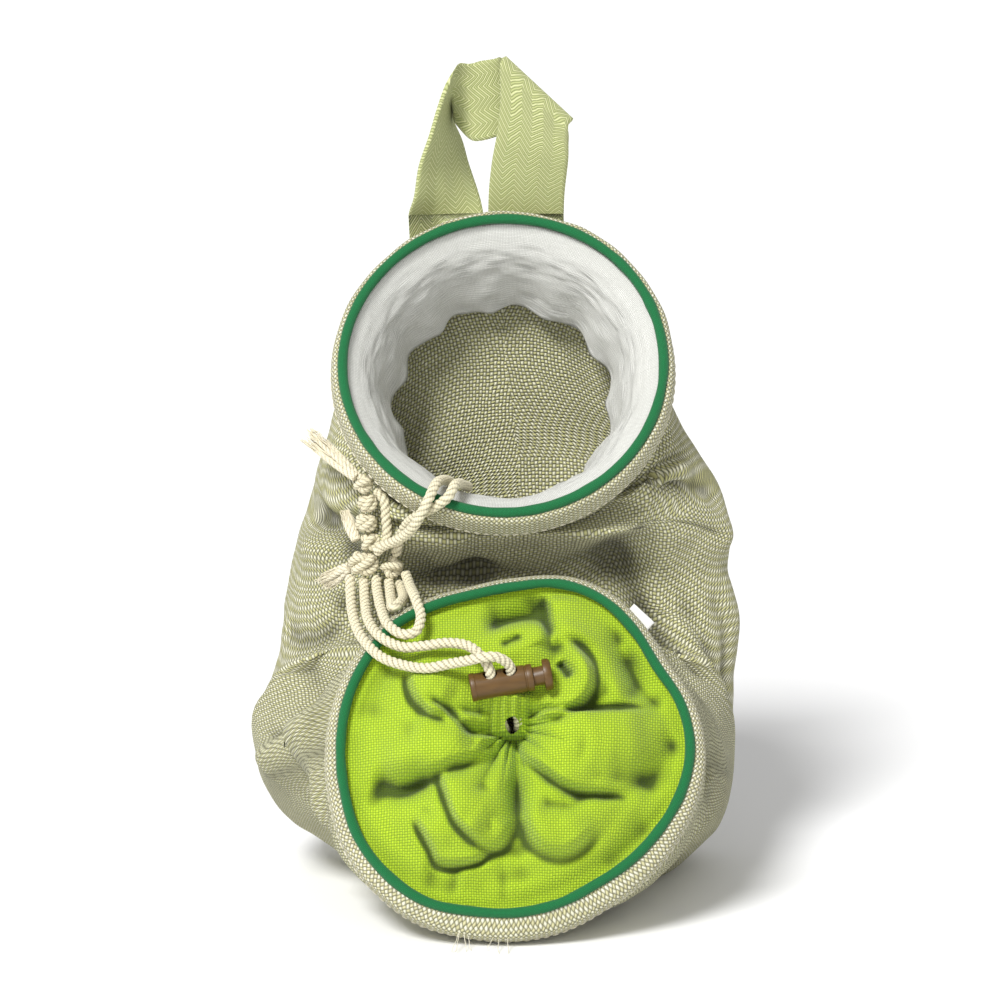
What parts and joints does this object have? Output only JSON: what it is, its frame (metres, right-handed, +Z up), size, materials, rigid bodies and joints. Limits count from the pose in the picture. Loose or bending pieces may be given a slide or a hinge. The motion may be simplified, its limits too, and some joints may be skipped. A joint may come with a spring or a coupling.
{
  "type": "garlic storage bag",
  "caption": "Small canvas storage sack with an open piped mouth, a hanging loop and a round drawstring sleeve gathered shut by a cord lock.",
  "frame": {"origin": "middle of the flat underside that the sack stands on", "axes": "+X to the right of the sleeve as seen from its front, +Y to the back of the sack, +Z up towards the hanging loop"},
  "size_m": [0.1588, 0.1355, 0.2704],
  "materials": {
    "canvas": "coarse two-tone woven canvas",
    "hem_canvas": "turned canvas hem with a stitched edge",
    "green_piping": "corded bias binding",
    "lime_cloth": "fine woven cotton, gathered",
    "white_lining": "thin plain cotton",
    "loop_tape": "herringbone tape",
    "white_label": "blank satin tab",
    "brown_plastic": "semi-gloss moulded",
    "cotton_cord": "twisted cotton cord",
    "frayed_cotton": "loose cotton fibres"
  },
  "bodies": {
    "bag": {"sack": "canvas", "sleeve_hem": "hem_canvas", "sleeve_piping": "green_piping", "sleeve_closure": "lime_cloth", "mouth_hem": "hem_canvas", "mouth_piping": "green_piping", "mouth_lining": "white_lining", "hanging_loop": "loop_tape", "care_label": "white_label", "toggle_barrel": "brown_plastic", "closure_cord_upper": "cotton_cord", "closure_cord_lower": "cotton_cord", "mouth_cord_upper": "cotton_cord", "mouth_cord_lower": "cotton_cord", "knot_strand": "cotton_cord", "cord_bight": "cotton_cord", "cord_bight_inner": "cotton_cord", "knot_top": "cotton_cord", "knot_upper": "cotton_cord", "knot_middle": "cotton_cord", "knot_lower": "cotton_cord", "knot_main": "cotton_cord", "knot_side": "cotton_cord", "frayed_end_top": "frayed_cotton", "frayed_end_middle": "frayed_cotton", "frayed_end_low": "frayed_cotton"},
    "plunger": {"toggle_plunger": "brown_plastic"}
  },
  "joints": [
    {"name": "plunger_press", "type": "slide", "parent": "bag", "child": "plunger", "axis": [-0.9848, -0.065, -0.161], "range_m": [0, 0.0024], "stiffness_N_per_m": 800}
  ]
}
